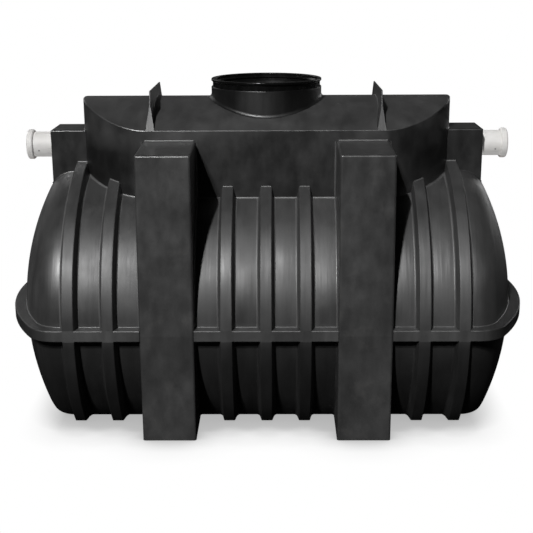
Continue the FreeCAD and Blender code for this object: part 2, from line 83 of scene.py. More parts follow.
# The tank's main surfaces, as the solids have them
AXIS_HEIGHT = 0.455
BARREL_RADIUS = 0.585
STRAIGHT = 0.831
CROWN_RADIUS = 1.090
KNUCKLE_RADIUS = 0.125
BELT_RADIUS = 0.627
RIB_NUMBERS = range(1, 8)
RIB_HALF_FACE = 0.023
RIB_FLANK_SPREAD = 0.015
RIB_FLANK_DEPTH = 0.066
FLOOR_GAP = 0.015
LEG_TOP = 1.192
LEG_TOP_SLOPE = -0.03
LEG_TAPER = 0.010
FIN_PLATE_HALF = 0.003
FIN_FLARE_RISE = 0.095
FIN_FOOT_INSETS = (0.01, 0.05)

# Hollow fillets in the inside corners of the moulding
FILLET_RADII = {
    "turret_foot_fillet": 0.010,
    "rib_foot_fillets": 0.009,
    "rib_top_fillets": 0.006,
    "leg_foot_fillets": 0.007,
    "belt_fillets": 0.004,
    "housing_fillets": 0.005,
    "fin_fillets": 0.005,
}
FILLET_SINK = 0.0001
FILLET_STEPS = 6
RIB_TOP_INSET = 0.003
SMOOTH_LIMIT = math.radians(40)

# How many stations a run of a fillet has
LONG_RUN = 60
MIDDLE_RUN = 40
BELT_SIDE_RUN = 30
HOUSING_SIDE_RUN = 24
HOUSING_FACE_RUN = 16
LEG_TOP_RUN = 12
CORNER_RUN = 8

# Smooth blacks: clouds, two levels of grey, two values of roughness, and a grain's scale, depth and strength
RIM = {
    "clouds": {"scale": 30.0, "detail": 3.0},
    "levels": (0.002, 0.006),
    "roughness": (0.2, 0.3),
    "grain": (500.0, 0.0001, 0.4),
}
RUBBER = {
    "clouds": {"scale": 60.0, "detail": 4.0},
    "levels": (0.008, 0.02),
    "roughness": (0.6, 0.8),
    "grain": (700.0, 0.0002, 0.5),
}

# Pipes: two colours, roughness and grain, a brown darkening of the underside, part soil and part painted
# shade, and a small dark mark on each
PIPE_CLOUDS = {"scale": 35.0, "stretch": (0.4, 1, 1), "detail": 4.0}
PIPE_COLOURS = ((0.68, 0.665, 0.645, 1.0), (0.76, 0.75, 0.735, 1.0))
PIPE_ROUGHNESS = (0.52, 0.62)
PIPE_GRAIN = (300.0, 0.0001, 0.4)
SOIL_AND_SHADE_COLOUR = (0.30, 0.22, 0.18, 1.0)
SOIL_AND_SHADE_SHARE = 0.6
SOIL_AND_SHADE_TOP = 0.75
SOIL_AND_SHADE_EDGE = {"scale": 60.0, "detail": 4.0}
SOIL_AND_SHADE_RAGGEDNESS = 0.008
PIPE_MARKS = {"left": (-0.995, -0.0507, 1.1156), "right": (0.995, -0.051, 1.1166)}
MARK_RADII = (0.0025, 0.005)
MARK_SHARE = 0.8
MARK_LEVEL = 0.08

# Moulded polyethylene: glossier than most plastics, with highlights smeared along the tank
SPECULAR_LEVEL = 1.0
SMEAR = 0.3
FLAT_PULL = 0.5
# Painted shade: below these heights the black turns darker.
SHADE_BELOW_HEIGHTS = (0.40, 0.46)
# The black's level is set per part to how light or dark each looks in its place: the turret walls,
# housings and neck are set far darker than the legs, as painted shade. The top entry is the level of
# upward faces: painted light on the turret roof, painted shade on the leg tops.
BLACKS = {
    "leg": {"level": 0.042, "streaks": 0.25, "dust": 0.6, "shift": 2.0, "top": 0.037, "pull": FLAT_PULL},
    "turret": {
        "level": 0.016,
        "streaks": 0.2,
        "dust": 0.7,
        "shift": 4.0,
        "painted_end_shade": (0.45, 0.75),
        "top": 0.040,
        "pull": FLAT_PULL,
    },
    "neck": {"level": 0.003, "roughness": 0.42, "streaks": 0.2, "shift": 12.0},
    "housing": {"level": 0.017, "streaks": 0.2, "shift": 14.0, "pull": FLAT_PULL},
    "fin": {"level": 0.020, "roughness": 0.5, "streaks": 0.4, "shift": 6.0},
    "barrel": {
        "level": 0.034,
        "roughness": 0.53,
        "dust": 0.6,
        "smear": SMEAR,
        "below": SHADE_BELOW_HEIGHTS,
        "bulge": True,
    },
    "dished_end": {"level": 0.034, "roughness": 0.48, "dust": 0.6, "smear": 0.4, "below": SHADE_BELOW_HEIGHTS},
    "rib": {"level": 0.034, "roughness": 0.53, "smear": SMEAR, "below": SHADE_BELOW_HEIGHTS, "shift": 8.0},
    # The belt gets painted shade towards its ends.
    "belt": {"level": 0.046, "roughness": 0.5, "painted_end_shade": (0.8, 1.0), "shift": 10.0},
    # The crease fillets are a lighter black than the barrel, a painted highlight along the inside corners.
    "crease": {
        "level": 0.06,
        "roughness": 0.46,
        "streaks": 0.3,
        "dust": 0.6,
        "below": SHADE_BELOW_HEIGHTS,
        "shift": 16.0,
    },
}

# The moulding's noises, with scales in turns per metre, and the values that a noise mostly has
NOISE_VALUES = (0.3, 0.7)
CLOUDS = {"scale": 5.0, "detail": 4.0}
SMUDGES = {"scale": 22.0, "detail": 3.0}
SMUDGE_DEPTH_STRETCH = 0.6
SPECKS = {"scale": 160.0, "detail": 2.0}
CHALK = {"scale": 9.0, "detail": 6.0, "roughness": 0.65}
CHALK_SHIFT = (7.0, 3.0, 1.0)
# Noise that mottles the painted highlight at the eave's height.
EAVE_HIGHLIGHT_NOISE = {"scale": 4.0, "detail": 5.0, "shift": (1.0, 5.0, 9.0)}
WAVES = {"scale": 7.0, "stretch": (1.0, 0.35, 0.35), "detail": 2.0}
RUNS = {"scale": 24.0, "stretch": (1.0, 0.08, 0.08), "detail": 2.0}
SCRATCHES = {"scale": 95.0, "stretch": (1.0, 0.06, 0.06), "detail": 2.0}
GRAIN = {"scale": 420.0, "detail": 2.0}

# The moulding's shades, as factors of the level or shares of a blend
SHADE_RANGE = (0.6, 1.4)
CLOUD_SHADE = (0.82, 1.18)
SMUDGE_SHADE = (0.86, 1.14)
SPECK_SHADE = (0.94, 1.06)
CHALK_VALUES = (0.56, 0.76)
CHALK_GAIN = 1.9
CHALK_WARMTH = 0.02
# Painted shade towards the ends along the tank: its share and its level as a factor.
END_SHADE_SHARE = 0.75
END_SHADE_GAIN = 0.2
# Painted highlight, mottled, that grows towards the eave's height: its heights, noise values, share and
# gain.
EAVE_HIGHLIGHT_HEIGHTS = (1.14, 1.225)
EAVE_HIGHLIGHT_VALUES = (0.42, 0.66)
EAVE_HIGHLIGHT_SHARE = 0.8
EAVE_HIGHLIGHT_GAIN = 1.7
# Upward faces take their own level: painted light on the turret roof, painted shade on the leg tops.
UPWARD = (0.35, 0.8)
# Painted shade of the lower part: its level and its share.
LOWER_SHADE_LEVEL = 0.009
LOWER_SHADE_SHARE = 0.85

# The moulding's roughness and relief
SMUDGE_WEAR = (-0.05, 0.05)
CLOUD_WEAR = (-0.07, 0.07)
WAVE_DEPTH = 0.004
RUN_DEPTH = 0.0016
SCRATCH_DEPTH = 0.0006
GRAIN_DEPTH = 0.0002
GRAIN_STRENGTH = 0.6
PANEL_PITCH = 0.1592
PANEL_BULGE = 0.005


def camera_like_the_photograph():
    """A camera at the photograph's place, turned down to the tank."""
    pitch, yaw, roll = CAMERA_PITCH_DOWN, CAMERA_YAW, CAMERA_ROLL
    forward = Vector((math.sin(yaw) * math.cos(pitch), math.cos(yaw) * math.cos(pitch), -math.sin(pitch)))
    right = Vector((math.cos(yaw), -math.sin(yaw), 0.0))
    up = right.cross(forward)
    across = right * math.cos(roll) + up * math.sin(roll)
    upright = up * math.cos(roll) - right * math.sin(roll)
    data = bpy.data.cameras.new("camera")
    data.sensor_width = SENSOR_WIDTH
    data.lens = CAMERA_FOCUS_PIXELS / PICTURE_WIDTH * SENSOR_WIDTH
    data.clip_end = FAR_CLIP
    camera = bpy.data.objects.new("camera", data)
    bpy.context.scene.collection.objects.link(camera)
    turn = Matrix((across, upright, -forward)).transposed()
    camera.matrix_world = Matrix.Translation(CAMERA_PLACE) @ turn.to_4x4()
    bpy.context.scene.camera = camera


def lamp(name, azimuth, elevation, strength, spread):
    """A far light from one direction."""
    azimuth, elevation = math.radians(azimuth), math.radians(elevation)
    data = bpy.data.lights.new(name, "SUN")
    data.energy = strength
    data.angle = math.radians(spread)
    thing = bpy.data.objects.new(name, data)
    level = math.cos(elevation)
    towards = Vector((math.sin(azimuth) * level, -math.cos(azimuth) * level, math.sin(elevation)))
    thing.rotation_mode = "QUATERNION"
    thing.rotation_quaternion = towards.to_track_quat("Z", "Y")
    bpy.context.scene.collection.objects.link(thing)
    return thing


def studio_lights():
    """Lights for the matt look, lights for the sheen alone, and a fill for the pipes alone."""
    for name, light in MATT_LIGHTS.items():
        lamp(name, *light).visible_glossy = False
    for name, light in GLOSS_LIGHTS.items():
        lamp(name, *light).visible_diffuse = False
    fill = lamp("pipe_fill", *PIPE_FILL)
    fill.data.use_shadow = False
    pipes = bpy.data.collections.new("pipes")
    for name in ("left_pipe", "right_pipe"):
        pipes.objects.link(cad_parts[name])
    fill.light_linking.receiver_collection = pipes


def seen_strength(nodes, links, path, plain, glossy):
    """A strength of 1 to the camera and through glass, another one in gloss, and plain elsewhere."""
    in_gloss = nodes.new("ShaderNodeMix")
    in_gloss.inputs["A"].default_value = plain
    if isinstance(glossy, bpy.types.NodeSocket):
        links.new(glossy, in_gloss.inputs["B"])
    else:
        in_gloss.inputs["B"].default_value = glossy
    links.new(path.outputs["Is Glossy Ray"], in_gloss.inputs["Factor"])
    either = nodes.new("ShaderNodeMath")
    either.operation = "MAXIMUM"
    links.new(path.outputs["Is Camera Ray"], either.inputs[0])
    links.new(path.outputs["Is Transmission Ray"], either.inputs[1])
    strength = nodes.new("ShaderNodeMix")
    strength.inputs["B"].default_value = 1.0
    links.new(either.outputs["Value"], strength.inputs["Factor"])
    links.new(in_gloss.outputs["Result"], strength.inputs["A"])
    return strength.outputs["Result"]


def world_light():
    """A faint even light, whose reflection is brighter towards the pale backdrop behind the tank."""
    world = bpy.data.worlds.new("world")
    bpy.context.scene.world = world
    world.use_nodes = True
    nodes, links = world.node_tree.nodes, world.node_tree.links
    background = nodes["Background"]
    background.inputs["Color"].default_value = WHITE
    direction = nodes.new("ShaderNodeSeparateXYZ")
    links.new(nodes.new("ShaderNodeTexCoord").outputs["Generated"], direction.inputs["Vector"])
    behind = nodes.new("ShaderNodeMapRange")
    links.new(direction.outputs["Y"], behind.inputs["Value"])
    behind.inputs["From Min"].default_value, behind.inputs["From Max"].default_value = GLOSSY_TURN
    behind.inputs["To Min"].default_value = GLOSSY_AHEAD
    behind.inputs["To Max"].default_value = GLOSSY_BEHIND
    path = nodes.new("ShaderNodeLightPath")
    strength = seen_strength(nodes, links, path, WORLD_STRENGTH, behind.outputs["Result"])
    links.new(strength, background.inputs["Strength"])


def floor_shade(nodes, links):
    """The soft shade that the tank leaves on the floor: a wide one, and a narrow one at each contact."""
    place = nodes.new("ShaderNodeSeparateXYZ")
    links.new(nodes.new("ShaderNodeTexCoord").outputs["Object"], place.inputs["Vector"])
    along = nodes.new("ShaderNodeMath")
    along.operation = "ABSOLUTE"
    links.new(place.outputs["X"], along.inputs[0])
    both = nodes.new("ShaderNodeMath")
    both.operation = "MULTIPLY"
    for socket, (reach, darkest, openness) in zip(both.inputs, FLOOR_SHADES):
        shade = nodes.new("ShaderNodeAmbientOcclusion")
        shade.inputs["Distance"].default_value = reach
        fade = nodes.new("ShaderNodeMapRange")
        links.new(along.outputs["Value"], fade.inputs["Value"])
        fade.inputs["From Min"].default_value, fade.inputs["From Max"].default_value = FLOOR_SHADE_END
        fade.inputs["To Min"].default_value = darkest
        fade.inputs["To Max"].default_value = 1.0
        lighter = nodes.new("ShaderNodeMapRange")
        lighter.inputs["From Min"].default_value = openness
        lighter.inputs["To Max"].default_value = 1.0
        links.new(fade.outputs["Result"], lighter.inputs["To Min"])
        links.new(shade.outputs["AO"], lighter.inputs["Value"])
        links.new(lighter.outputs["Result"], socket)
    return both.outputs["Value"]


def floor():
    """A pale floor that melts into the background and keeps a soft shade under the tank."""
    mesh = bpy.data.meshes.new("floor")
    far = FLOOR_REACH
    mesh.from_pydata([(-far, -far, 0), (far, -far, 0), (far, far, 0), (-far, far, 0)], [], [(0, 1, 2, 3)])
    thing = bpy.data.objects.new("floor", mesh)
    bpy.context.scene.collection.objects.link(thing)
    material = bpy.data.materials.new("pale_floor")
    material.use_nodes = True
    nodes, links = material.node_tree.nodes, material.node_tree.links
    nodes.clear()
    output = nodes.new("ShaderNodeOutputMaterial")
    diffuse = nodes.new("ShaderNodeBsdfDiffuse")
    diffuse.inputs["Color"].default_value = (FLOOR_BOUNCE, FLOOR_BOUNCE, FLOOR_BOUNCE, 1.0)
    glow = nodes.new("ShaderNodeEmission")
    mix = nodes.new("ShaderNodeMixShader")
    path = nodes.new("ShaderNodeLightPath")
    level = nodes.new("ShaderNodeMath")
    level.operation = "MULTIPLY"
    links.new(floor_shade(nodes, links), level.inputs[0])
    links.new(seen_strength(nodes, links, path, 0.0, GLOSSY_FLOOR), level.inputs[1])
    links.new(level.outputs["Value"], glow.inputs["Strength"])
    seen = nodes.new("ShaderNodeMath")
    seen.operation = "ADD"
    seen.use_clamp = True
    links.new(path.outputs["Is Camera Ray"], seen.inputs[0])
    links.new(path.outputs["Is Glossy Ray"], seen.inputs[1])
    links.new(seen.outputs["Value"], mix.inputs["Fac"])
    links.new(diffuse.outputs["BSDF"], mix.inputs[1])
    links.new(glow.outputs["Emission"], mix.inputs[2])
    links.new(mix.outputs["Shader"], output.inputs["Surface"])
    mesh.materials.append(material)


class Finish:
    """One material, with short ways to add the nodes that the finishes share."""

    def __init__(self, name):
        self.material = bpy.data.materials.new(name)
        self.material.use_nodes = True
        self.nodes = self.material.node_tree.nodes
        self.links = self.material.node_tree.links
        self.shader = self.nodes["Principled BSDF"]
        self.coordinates = self.nodes.new("ShaderNodeTexCoord")
        self.place = self.coordinates.outputs["Object"]

    def put(self, socket, value):
        """Link a socket, or set it to a plain value."""
        if isinstance(value, bpy.types.NodeSocket):
            self.links.new(value, socket)
        else:
            socket.default_value = value

    def give(self, name, value):
        """Link one input of the shader, or set it to a plain value."""
        self.put(self.shader.inputs[name], value)

    def noise(self, scale, stretch=(1, 1, 1), detail=3.0, shift=(0, 0, 0), roughness=0.5):
        """Cloudy noise from 0 to 1 at a scale in turns per metre, stretched along some axes."""
        mapping = self.nodes.new("ShaderNodeMapping")
        self.links.new(self.place, mapping.inputs["Vector"])
        mapping.inputs["Scale"].default_value = stretch
        mapping.inputs["Location"].default_value = shift
        noise = self.nodes.new("ShaderNodeTexNoise")
        noise.inputs["Scale"].default_value = scale
        noise.inputs["Detail"].default_value = detail
        noise.inputs["Roughness"].default_value = roughness
        self.links.new(mapping.outputs["Vector"], noise.inputs["Vector"])
        return noise.outputs["Fac"]

    def spread(self, value, low, high, to_low=0.0, to_high=1.0):
        """Carry a range of values to another one, and stop at its ends."""
        node = self.nodes.new("ShaderNodeMapRange")
        self.put(node.inputs["Value"], value)
        for name, number in (("From Min", low), ("From Max", high), ("To Min", to_low), ("To Max", to_high)):
            node.inputs[name].default_value = number
        return node.outputs["Result"]

    def swing(self, noise, to_low=0.0, to_high=1.0):
        """Carry the values that a noise mostly has to a range."""
        return self.spread(noise, *NOISE_VALUES, to_low, to_high)

    def calculate(self, operation, *values):
        """The result of one calculation with plain values or sockets."""
        node = self.nodes.new("ShaderNodeMath")
        node.operation = operation
        for socket, value in zip(node.inputs, values):
            self.put(socket, value)
        return node.outputs["Value"]

    def axis(self, letter, kind="Object"):
        """One coordinate of the point, or of its normal."""
        node = self.nodes.new("ShaderNodeSeparateXYZ")
        self.links.new(self.coordinates.outputs[kind], node.inputs["Vector"])
        return node.outputs[letter]

    def blend(self, factor, first, second):
        """A colour between two others."""
        node = self.nodes.new("ShaderNodeMix")
        node.data_type = "RGBA"
        self.put(node.inputs["Factor"], factor)
        self.put(node.inputs[6], first)
        self.put(node.inputs[7], second)
        return node.outputs[2]

    def bump(self, height, distance, strength=1.0, below=None):
        """Small relief of the surface, in metres, on top of another one."""
        node = self.nodes.new("ShaderNodeBump")
        node.inputs["Distance"].default_value = distance
        node.inputs["Strength"].default_value = strength
        self.links.new(height, node.inputs["Height"])
        if below:
            self.links.new(below, node.inputs["Normal"])
        return node.outputs["Normal"]

    def grain(self, scale, depth, strength):
        """A fine relief all over the surface."""
        return self.bump(self.noise(scale), depth, strength)


def grey(level, warmth=0.0):
    """An almost neutral colour."""
    return (level * (1 + warmth), level, level * (1 - warmth), 1.0)


def cloudy_grey(finish, shade, level):
    """A grey that a shade about 1 makes darker and lighter."""
    low, high = SHADE_RANGE
    return finish.blend(finish.spread(shade, low, high), grey(level * low), grey(level * high))


def mould_colour(finish, level, clouds, smudges, dust, shift, painted_end_shade, top, below):
    """Cloudy, chalky black, which may take painted shade to the ends and below, and painted light or shade
    on top with a mottled painted highlight at the eave's height.
    """
    specks = finish.noise(**SPECKS, shift=(shift, shift, shift))
    cloudy, smudged = finish.swing(clouds, *CLOUD_SHADE), finish.swing(smudges, *SMUDGE_SHADE)
    shade = finish.calculate("MULTIPLY", cloudy, smudged)
    shade = finish.calculate("MULTIPLY", shade, finish.swing(specks, *SPECK_SHADE))
    colour = cloudy_grey(finish, shade, level)
    chalk_shift = (shift + CHALK_SHIFT[0], *CHALK_SHIFT[1:])
    chalk = finish.spread(finish.noise(**CHALK, shift=chalk_shift), *CHALK_VALUES, 0.0, dust)
    colour = finish.blend(chalk, colour, grey(level * CHALK_GAIN, CHALK_WARMTH))
    # Painted shade: the black turns darker towards the ends along the tank.
    if painted_end_shade:
        along = finish.calculate("ABSOLUTE", finish.axis("X"))
        end_shade = finish.spread(along, *painted_end_shade, 0.0, END_SHADE_SHARE)
        colour = finish.blend(end_shade, colour, grey(level * END_SHADE_GAIN))
    # Painted highlight, mottled, towards the eave's height, and a level of its own for upward faces, painted
    # light or shade.
    if top:
        eave_highlight = finish.spread(finish.noise(**EAVE_HIGHLIGHT_NOISE), *EAVE_HIGHLIGHT_VALUES, 0.0, EAVE_HIGHLIGHT_SHARE)
        eave_highlight = finish.calculate("MULTIPLY", eave_highlight, finish.spread(finish.axis("Z"), *EAVE_HIGHLIGHT_HEIGHTS))
        colour = finish.blend(eave_highlight, colour, grey(top * EAVE_HIGHLIGHT_GAIN))
        upward = finish.spread(finish.axis("Z", "Normal"), *UPWARD)
        colour = finish.blend(upward, colour, cloudy_grey(finish, shade, top))
    # Painted shade: the black turns darker below the belt.
    if below:
        lower_shade = finish.spread(finish.axis("Z"), *below, LOWER_SHADE_SHARE, 0.0)
        colour = finish.blend(lower_shade, colour, grey(LOWER_SHADE_LEVEL))
    return colour


def mould_relief(finish, shift, streaks, bulge):
    """Waves, runs and scratches round the tank, bulged panels between the ribs and a fine grain."""
    place = (shift, shift, shift)
    relief = finish.bump(finish.noise(**WAVES, shift=place), WAVE_DEPTH)
    relief = finish.bump(finish.noise(**RUNS, shift=place), RUN_DEPTH * streaks, below=relief)
    relief = finish.bump(finish.noise(**SCRATCHES, shift=place), SCRATCH_DEPTH * streaks, below=relief)
    if bulge:
        turn = finish.calculate("MULTIPLY", finish.axis("X"), math.pi / PANEL_PITCH)
        arch = finish.calculate("ABSOLUTE", finish.calculate("SINE", turn))
        relief = finish.bump(arch, PANEL_BULGE, below=relief)
    return finish.bump(finish.noise(**GRAIN), GRAIN_DEPTH, GRAIN_STRENGTH, below=relief)


def moulded_plastic(
    name,
    level,
    roughness=0.38,
    streaks=1.0,
    dust=0.35,
    shift=0.0,
    painted_end_shade=None,
    top=None,
    smear=0.0,
    below=None,
    bulge=False,
    pull=0.1,
):
    """Satin black polyethylene: cloudy, smudged up and down, a little wavy and finely grained."""
    finish = Finish(name)
    place = (shift, shift, shift)
    clouds = finish.noise(**CLOUDS, shift=place)
    smudges = finish.noise(**SMUDGES, stretch=(1.0, SMUDGE_DEPTH_STRETCH, pull), shift=place)
    colour = mould_colour(finish, level, clouds, smudges, dust, shift, painted_end_shade, top, below)
    finish.give("Base Color", colour)
    worn = finish.calculate("ADD", finish.swing(smudges, *SMUDGE_WEAR), finish.swing(clouds, *CLOUD_WEAR))
    finish.give("Roughness", finish.calculate("ADD", worn, roughness))
    finish.give("Normal", mould_relief(finish, shift, streaks, bulge))
    along = finish.nodes.new("ShaderNodeCombineXYZ")
    along.inputs["X"].default_value = 1.0
    finish.give("Tangent", along.outputs["Vector"])
    finish.give("Anisotropic", smear)
    finish.give("Specular IOR Level", SPECULAR_LEVEL)
    return finish.material


def smooth_black(name, clouds, levels, roughness, grain):
    """An even black with faint clouds and a fine grain."""
    finish = Finish(name)
    cloudy = finish.noise(**clouds)
    dark, light = levels
    finish.give("Base Color", finish.blend(cloudy, grey(dark), grey(light)))
    finish.give("Roughness", finish.swing(cloudy, *roughness))
    finish.give("Normal", finish.grain(*grain))
    return finish.material


def pipe_plastic(side, box, mark):
    """Off-white pipe plastic, darkened brown along its underside, part soil and part painted shade, and with
    one small dark mark.
    """
    finish = Finish(f"{side}_pipe_off_white")
    low, high = box
    middle = (low.z + high.z) / 2
    radius = (high.z - low.z) / 2
    clouds = finish.noise(**PIPE_CLOUDS)
    colour = finish.blend(finish.swing(clouds), *PIPE_COLOURS)
    # Brown darkening of the underside, part soil and part painted shade.
    ragged = finish.spread(finish.noise(**SOIL_AND_SHADE_EDGE), 0.0, 1.0, -SOIL_AND_SHADE_RAGGEDNESS, SOIL_AND_SHADE_RAGGEDNESS)
    ragged = finish.calculate("ADD", finish.axis("Z"), ragged)
    soil_and_shade = finish.spread(ragged, middle - radius, middle - SOIL_AND_SHADE_TOP * radius, SOIL_AND_SHADE_SHARE, 0.0)
    colour = finish.blend(soil_and_shade, colour, SOIL_AND_SHADE_COLOUR)
    away = finish.nodes.new("ShaderNodeVectorMath")
    away.operation = "DISTANCE"
    finish.put(away.inputs[0], finish.place)
    finish.put(away.inputs[1], mark)
    spot = finish.spread(away.outputs["Value"], *MARK_RADII, MARK_SHARE, 0.0)
    colour = finish.blend(spot, colour, grey(MARK_LEVEL))
    finish.give("Base Color", colour)
    finish.give("Roughness", finish.swing(clouds, *PIPE_ROUGHNESS))
    finish.give("Normal", finish.grain(*PIPE_GRAIN))
    return finish.material


def finishes():
    """Give each node the finish of its kind of surface, and return the moulded ones."""
    kinds = {kind: moulded_plastic(f"{kind}_black", **values) for kind, values in BLACKS.items()}
    words = (("leg", "leg"), ("belt", "belt"), ("rib_", "rib"), ("turret", "turret"), ("neck", "neck"))
    words += (("housing", "housing"), ("fin", "fin"), ("_end", "dished_end"))
    for name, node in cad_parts.items():
        kind = next((kind for word, kind in words if word in name), "barrel")
        material = kinds[kind]
        if name == "manhole_rim":
            material = smooth_black("rim_gloss_black", **RIM)
        elif name.endswith("seal"):
            material = smooth_black("seal_rubber_black", **RUBBER)
        elif name.endswith("pipe"):
            side = name.split("_")[0]
            material = pipe_plastic(side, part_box(name), PIPE_MARKS[side])
        for slot in node.material_slots:
            slot.material = material
    return kinds


class Tank:
    """The round form: a straight barrel with a knuckle and a shallow crown at each end."""

    def __init__(self):
        self.knuckle_height = BARREL_RADIUS - KNUCKLE_RADIUS
        reach = math.sqrt((CROWN_RADIUS - KNUCKLE_RADIUS) ** 2 - self.knuckle_height**2)
        lean = math.atan2(self.knuckle_height, reach)
        self.crown_middle = STRAIGHT - reach
        self.crown_start = STRAIGHT + KNUCKLE_RADIUS * math.cos(lean)

    def meridian(self, x):
        """The radius at a place along the axis, with the outward slope there as (along, away)."""
        far, side = abs(x), math.copysign(1.0, x)
        if far <= STRAIGHT:
            return BARREL_RADIUS, (0.0, 1.0)
        if far <= self.crown_start:
            rise = math.sqrt(KNUCKLE_RADIUS**2 - (far - STRAIGHT) ** 2)
            lean = (side * (far - STRAIGHT) / KNUCKLE_RADIUS, rise / KNUCKLE_RADIUS)
            return self.knuckle_height + rise, lean
        rise = math.sqrt(max(CROWN_RADIUS**2 - (far - self.crown_middle) ** 2, 0.0))
        return rise, (side * (far - self.crown_middle) / CROWN_RADIUS, rise / CROWN_RADIUS)

    def above(self, x, y):
        """The point and the outward normal on the upper half, over a place in plan."""
        radius, (along, away) = self.meridian(x)
        height = math.sqrt(max(radius**2 - y**2, 0.0))
        normal = Vector((along, away * y / radius, away * height / radius))
        return Vector((x, y, AXIS_HEIGHT + height)), normal

    def around(self, x, angle):
        """The point and the normal at an angle up from the level of the axis, on the front half."""
        radius, (along, away) = self.meridian(x)
        level, up = math.cos(angle), math.sin(angle)
        point = Vector((x, -radius * level, AXIS_HEIGHT + radius * up))
        return point, Vector((along, -away * level, away * up))


def fillet_rows(stations, radius):
    """Rows of a hollow fillet: each station is a corner's point and the two outward normals there."""
    rows = []
    for corner, first, second in stations:
        first, second = first.normalized(), second.normalized()
        open_share = 1 + first.dot(second)
        middle = corner + (first + second) * (radius - FILLET_SINK) / open_share
        angle = first.angle(second)
        row = []
        for step in range(FILLET_STEPS + 1):
            part = step / FILLET_STEPS
            mixed = first * math.sin((1 - part) * angle) + second * math.sin(part * angle)
            row.append(middle - mixed / math.sin(angle) * radius)
        row.append(corner - (first + second) * FILLET_SINK / open_share)
        rows.append(row)
    return rows


def fillets(name, runs, material, closed=False):
    """One piece of hollow moulded fillets, each a closed bar along a run of corner stations."""
    points, faces = [], []
    for stations in runs:
        rows = fillet_rows(stations, FILLET_RADII[name])
        count, start, width = len(rows), len(points), FILLET_STEPS + 2
        points += [point for row in rows for point in row]
        for index in range(count if closed else count - 1):
            here, there = start + index * width, start + (index + 1) % count * width
            for step in range(width):
                beside = (step + 1) % width
                faces.append((here + step, there + step, there + beside, here + beside))
        if not closed:
            faces.append(tuple(range(start, start + width)))
            faces.append(tuple(start + (count - 1) * width + step for step in reversed(range(width))))
    mesh = bpy.data.meshes.new(name)
    mesh.from_pydata(points, [], faces)
    smooth_and_outward(mesh)
    mesh.materials.append(material)
    piece = bpy.data.objects.new(name, mesh)
    bpy.context.scene.collection.objects.link(piece)
    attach(piece, "root")
    return piece


def smooth_and_outward(mesh):
    """Turn the faces outward and shade all but the sharp edges smoothly."""
    form = bmesh.new()
    form.from_mesh(mesh)
    bmesh.ops.recalc_face_normals(form, faces=form.faces)
    for edge in form.edges:
        edge.smooth = edge.calc_face_angle(0.0) < SMOOTH_LIMIT
    for face in form.faces:
        face.smooth = True
    form.to_mesh(mesh)
    form.free()


def between(first, last, count):
    """Evenly spaced values from the first to the last."""
    return [first + (last - first) * step / (count - 1) for step in range(count)]


def mirrored(stations):
    """The same run on the back of the tank."""
    flip = Vector((1, -1, 1))
    return [(point * flip, first * flip, second * flip) for point, first, second in stations]


def turret_sizes():
    """The turret's half width, and the half length of its straight walls."""
    half_width = -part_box("turret_front_wall")[0].y
    return half_width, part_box("turret_right_end")[1].x - half_width


def turret_plan():
    """The turret's outline in plan, as places with their outward normals, once round."""
    half_width, straight = turret_sizes()
    places = []
    for side, start in ((1, -math.pi / 2), (-1, math.pi / 2)):
        for x in between(-side * straight, side * straight, MIDDLE_RUN):
            places.append((x, -side * half_width, Vector((0, -side, 0))))
        for angle in between(start, start + math.pi, MIDDLE_RUN)[1:-1]:
            across = Vector((math.cos(angle), math.sin(angle), 0))
            places.append((side * straight + half_width * across.x, half_width * across.y, across))
    return places


def turret_foot(tank):
    """The crease where the turret stands on the barrel."""
    return [(tank.above(x, y)[0], tank.above(x, y)[1], across) for x, y, across in turret_plan()]


def turret_side(x):
    """How far past the turret's straight walls a place is, and the turret's half width there."""
    half_width, straight = turret_sizes()
    past = max(abs(x) - straight, 0.0)
    return past, math.sqrt(max(half_width**2 - past**2, 0.0))


def turret_depth(x):
    """How far forward the turret or a pipe housing covers the barrel at a place along it."""
    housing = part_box("right_pipe_housing")[1]
    return max(turret_side(x)[1], housing.y if abs(x) < housing.x else 0.0)


def turret_wall(x):
    """The outward direction of the turret's wall, or of the housing's, over a place along the tank."""
    past, across = turret_side(x)
    if past == 0 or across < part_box("right_pipe_housing")[1].y:
        return Vector((0, -1, 0))
    return Vector((math.copysign(past, x), -across, 0))


def rib_creases(tank):
    """The creases at both feet of each rib, above and below the belt."""
    runs = []
    belt_low, belt_high = (corner.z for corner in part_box("front_belt"))
    slope = RIB_FLANK_SPREAD / RIB_FLANK_DEPTH
    foot = RIB_HALF_FACE + slope * (BELT_RADIUS - BARREL_RADIUS)
    for number in RIB_NUMBERS:
        low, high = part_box(f"rib_{number}")
        for side in (-1, 1):
            x = (low.x + high.x) / 2 + side * foot
            flank = Vector((side, 0, 0))
            start = math.asin((belt_high - AXIS_HEIGHT) / BARREL_RADIUS)
            end = math.acos(turret_depth(x) / BARREL_RADIUS)
            floor_angle = -math.asin((AXIS_HEIGHT - low.z) / BARREL_RADIUS)
            belt_angle = math.asin((belt_low - AXIS_HEIGHT) / BARREL_RADIUS)
            for first, last in ((start, end), (floor_angle, belt_angle)):
                stations = []
                for angle in between(first, last, MIDDLE_RUN):
                    point, normal = tank.around(x, angle)
                    stations.append((point, flank + normal * slope, normal))
                runs += [stations, mirrored(stations)]
    return runs


def rib_top_creases():
    """The creases round the top of each rib, where it runs into the turret or a pipe housing."""
    runs = []
    for number in RIB_NUMBERS:
        low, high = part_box(f"rib_{number}")
        middle = (low.x + high.x) / 2
        half = RIB_HALF_FACE - RIB_TOP_INSET
        stations = []
        for x in between(middle - half, middle + half, CORNER_RUN):
            depth = turret_depth(x)
            height = math.sqrt(BELT_RADIUS**2 - depth**2)
            corner = Vector((x, -depth, AXIS_HEIGHT + height))
            stations.append((corner, Vector((0, -depth, height)), turret_wall(x)))
        runs += [stations, mirrored(stations)]
    return runs


